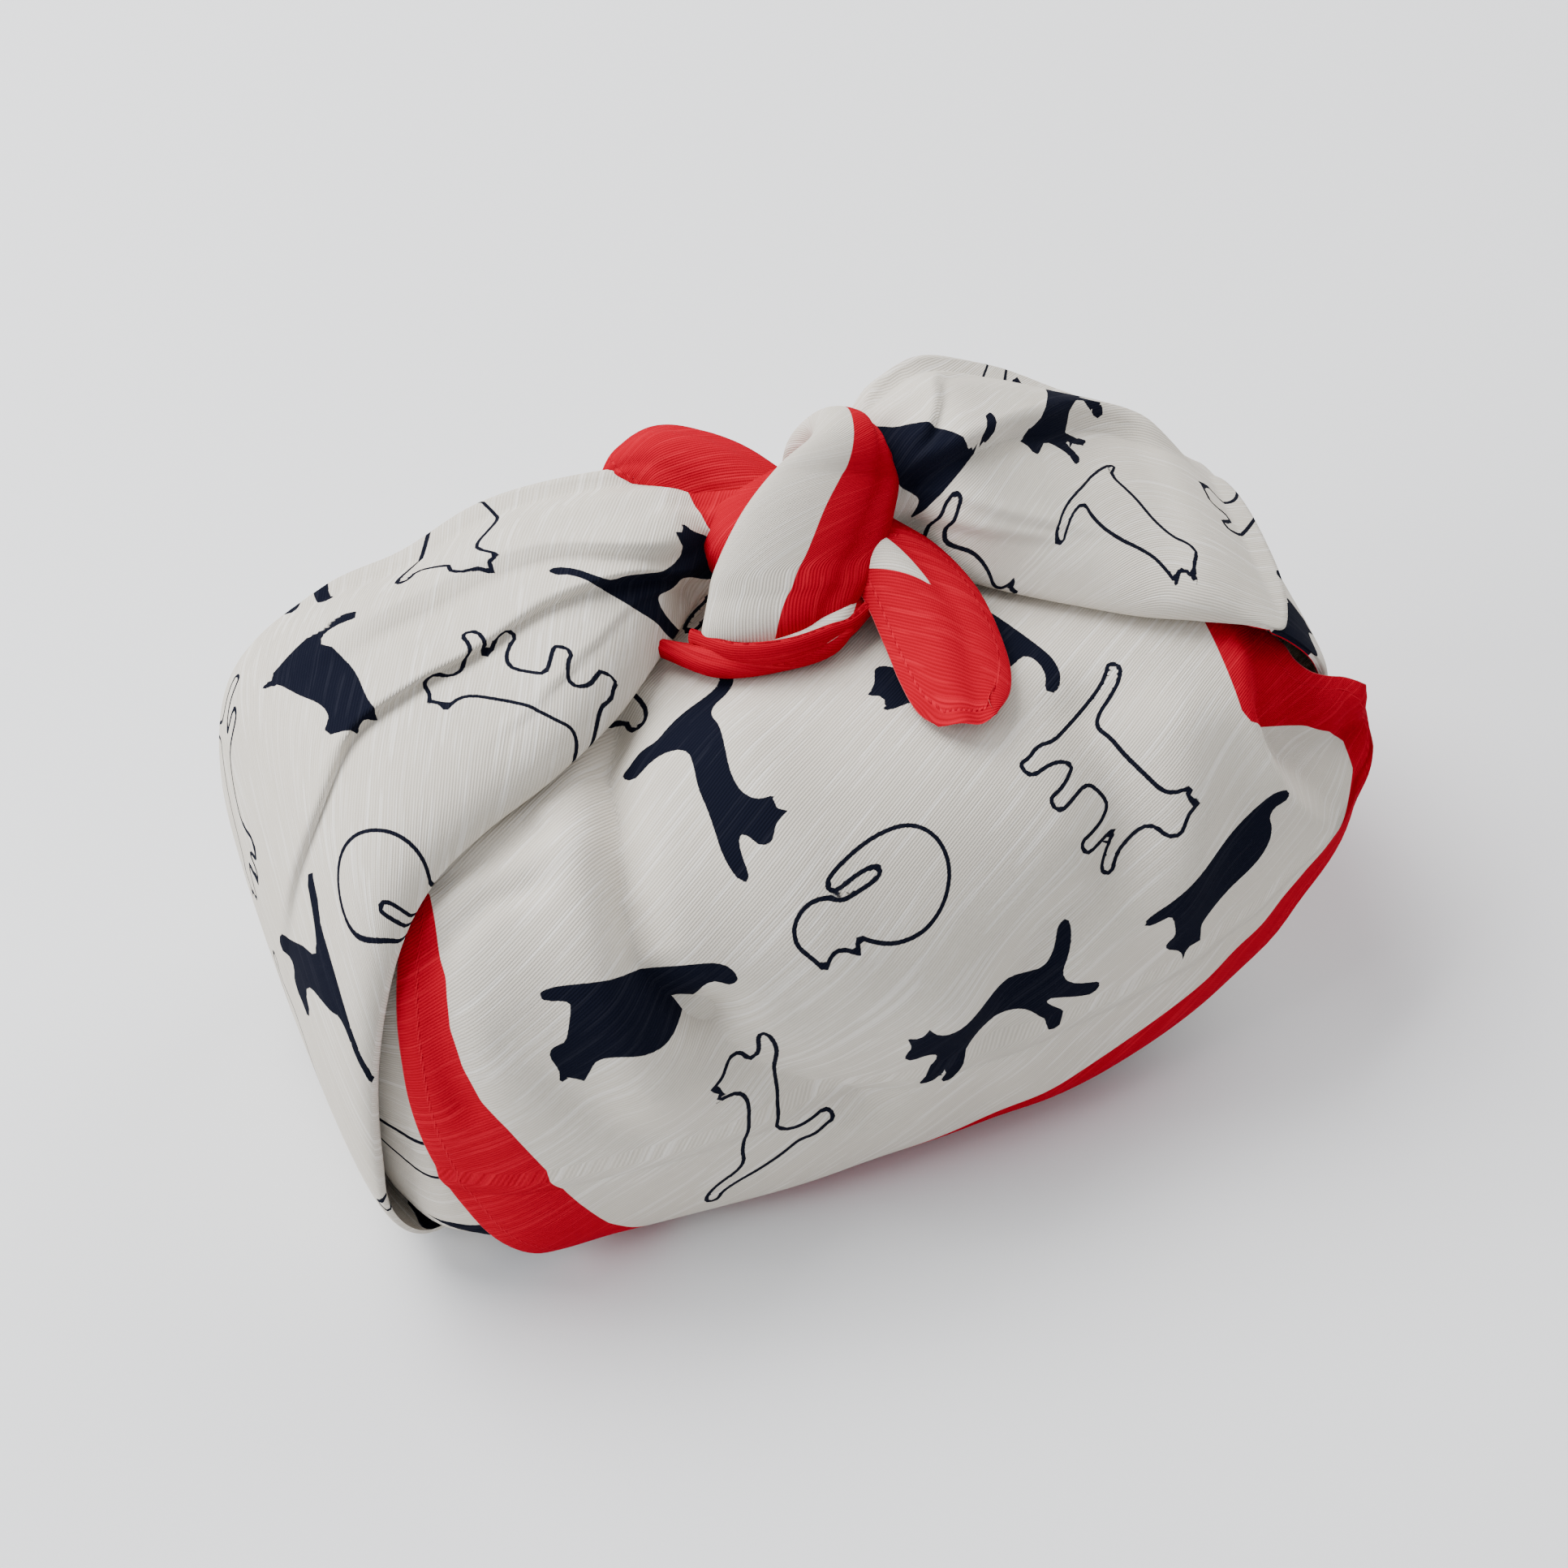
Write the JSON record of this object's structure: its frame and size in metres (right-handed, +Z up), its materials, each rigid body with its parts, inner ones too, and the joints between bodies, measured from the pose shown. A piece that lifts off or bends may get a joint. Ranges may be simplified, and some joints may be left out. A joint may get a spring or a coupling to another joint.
{
  "type": "furoshiki wrap",
  "caption": "Square cloth folded over a loaf-shaped load and tied on top in a square knot with two free ends, hollow inside, with a gathered arm over each end and an open corner beside one.",
  "frame": {"origin": "middle of the footprint's box, on the floor that the wrap rests on", "axes": "+X along the wrap towards its open end, -Y towards the front with the folded flap, +Z up"},
  "size_m": [0.3182, 0.1744, 0.1777],
  "materials": {
    "cream_cloth": "warm off-white slub cotton with a red border and navy-black drawings"
  },
  "bodies": {
    "root": {"furoshiki_cloth": "cream_cloth"}
  },
  "joints": []
}
